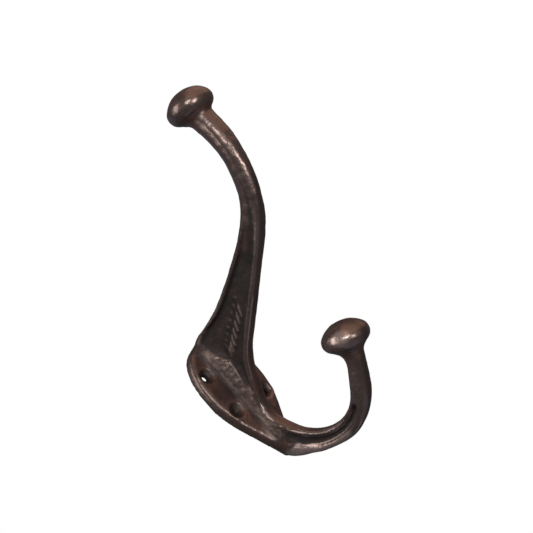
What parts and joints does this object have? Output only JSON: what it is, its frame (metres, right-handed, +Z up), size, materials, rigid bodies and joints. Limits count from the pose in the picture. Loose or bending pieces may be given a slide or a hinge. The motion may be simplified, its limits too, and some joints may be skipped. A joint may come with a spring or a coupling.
{
  "type": "wall hook",
  "caption": "Antique double wall hook cast in one piece: shield back plate with countersunk screw holes, long fluted upper arm and short lower hook, mushroom knobs, dark brown iron.",
  "frame": {"origin": "middle of the four screw holes on the back plate's flat back face, which lies against the wall", "axes": "+X to the right and across the plate, +Y into the wall, +Z up; the arms reach out along -Y"},
  "size_m": [0.0348, 0.0964, 0.1451],
  "materials": {
    "iron": "aged dark brown patina, worn lighter and glossy on the knobs and rail edges"
  },
  "bodies": {
    "root": {"hook_casting": "iron"}
  },
  "joints": []
}
